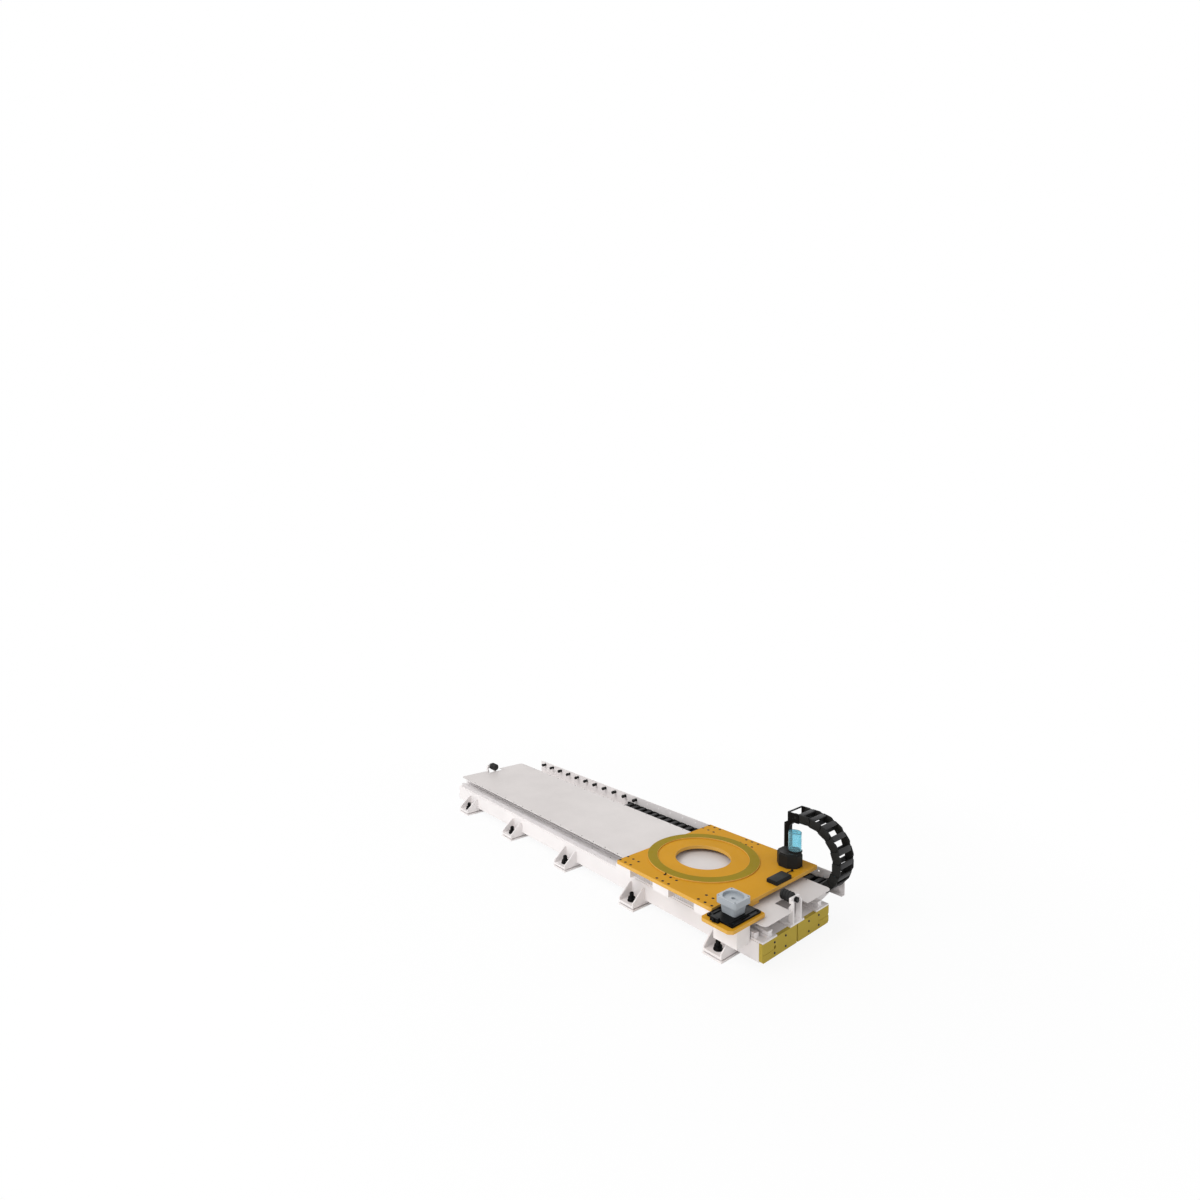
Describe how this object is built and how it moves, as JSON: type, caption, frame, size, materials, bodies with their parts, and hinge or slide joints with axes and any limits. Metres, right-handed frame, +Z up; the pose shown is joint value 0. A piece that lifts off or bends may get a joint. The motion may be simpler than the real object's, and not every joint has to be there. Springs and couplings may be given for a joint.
{
  "type": "robot linear track",
  "caption": "Low floor-standing linear track with profile rails, a rack-driven carriage plate with a robot ring, end bumpers, lubricator, cable tray and drag chain.",
  "frame": {"origin": "middle of the outline in plan, at the floor", "axes": "+X along the track towards the chain's bend, +Y towards the cable tray, +Z up"},
  "size_m": [2.7352, 0.8974, 0.4861],
  "materials": {
    "white_paint": "satin paint",
    "cover_paint": "satin paint",
    "ground_steel": "ground steel",
    "dark_steel": "blackened steel",
    "olive_paint": "satin paint",
    "black_steel": "black oxide",
    "black_plastic": "matt moulded plastic",
    "stay_plastic": "matt moulded plastic",
    "bumper_rubber": "matt rubber",
    "orange_paint": "satin paint",
    "reducer_paint": "satin paint",
    "jar_plastic": "clear tinted plastic"
  },
  "bodies": {
    "base": {"front_beam": "white_paint", "rear_beam": "white_paint", "tie_plates": "white_paint", "rail_seats": "white_paint", "front_rail": "ground_steel", "rear_rail": "ground_steel", "rail_bolts": "dark_steel", "gear_rack": "ground_steel", "rack_bolts": "dark_steel", "end_plates": "olive_paint", "far_end_plates": "white_paint", "end_plate_screws": "dark_steel", "foot_brackets": "white_paint", "floor_pads": "white_paint", "levelling_bolts": "black_steel", "levelling_nuts": "black_steel", "cover_plate": "cover_paint", "cover_stiffeners": "white_paint", "cover_rivets": "dark_steel", "cover_posts": "white_paint", "cable_tray": "white_paint", "tray_brackets": "white_paint", "chain_rest_pegs": "black_plastic", "bumper_brackets": "white_paint", "bumpers": "bumper_rubber", "bumper_nuts": "black_steel", "chain_fixed_bracket": "black_steel", "chain_static_plates": "black_plastic", "chain_static_stays": "stay_plastic", "chain_lifting_plates": "black_plastic", "chain_lifting_stays": "stay_plastic"},
    "carriage": {"carriage_plate": "orange_paint", "robot_ring": "olive_paint", "risers": "white_paint", "riser_bolts": "black_steel", "bearing_blocks": "ground_steel", "block_end_caps": "black_plastic", "block_bolts": "dark_steel", "drive_tab": "orange_paint", "reducer_slide_plate": "black_steel", "slide_plate_screws": "black_steel", "adjuster_block": "black_steel", "reducer_body": "reducer_paint", "motor_flange": "reducer_paint", "pinion_guard": "white_paint", "pump_body": "black_plastic", "grease_reservoir": "jar_plastic", "reservoir_cap": "jar_plastic", "distributor_box": "black_plastic", "grease_pipe": "black_plastic", "chain_post": "black_steel", "chain_end_bracket": "black_steel", "chain_upper_plates": "black_plastic", "chain_upper_stays": "stay_plastic"},
    "pinion": {"drive_pinion": "ground_steel"},
    "hub": {"input_hub": "dark_steel"},
    "chain_bend": {"chain_bend_plates": "black_plastic", "chain_bend_stays": "stay_plastic"}
  },
  "joints": [
    {"name": "carriage_slide", "type": "slide", "parent": "base", "child": "carriage", "axis": [1, 0, 0], "range_m": [-1.73, 0]},
    {"name": "pinion_spin", "type": "hinge", "parent": "carriage", "child": "pinion", "pos_m": [1.21738, -0.31565, 0.141], "axis": [0, 0, 1], "continuous": true},
    {"name": "hub_spin", "type": "hinge", "parent": "carriage", "child": "hub", "pos_m": [1.21738, -0.31565, 0.282], "axis": [0, 0, 1], "continuous": true},
    {"name": "chain_roll", "type": "slide", "parent": "carriage", "child": "chain_bend", "axis": [1, 0, 0], "range_m": [0, 0.87], "deforming": ["chain_lifting_plates", "chain_lifting_stays"]}
  ],
  "couplings": [
    {"joint": "pinion_spin", "follows": "carriage_slide", "rad_per_m": 22.727},
    {"joint": "hub_spin", "follows": "carriage_slide", "rad_per_m": 227.27},
    {"joint": "chain_roll", "follows": "carriage_slide", "ratio": -0.5}
  ]
}
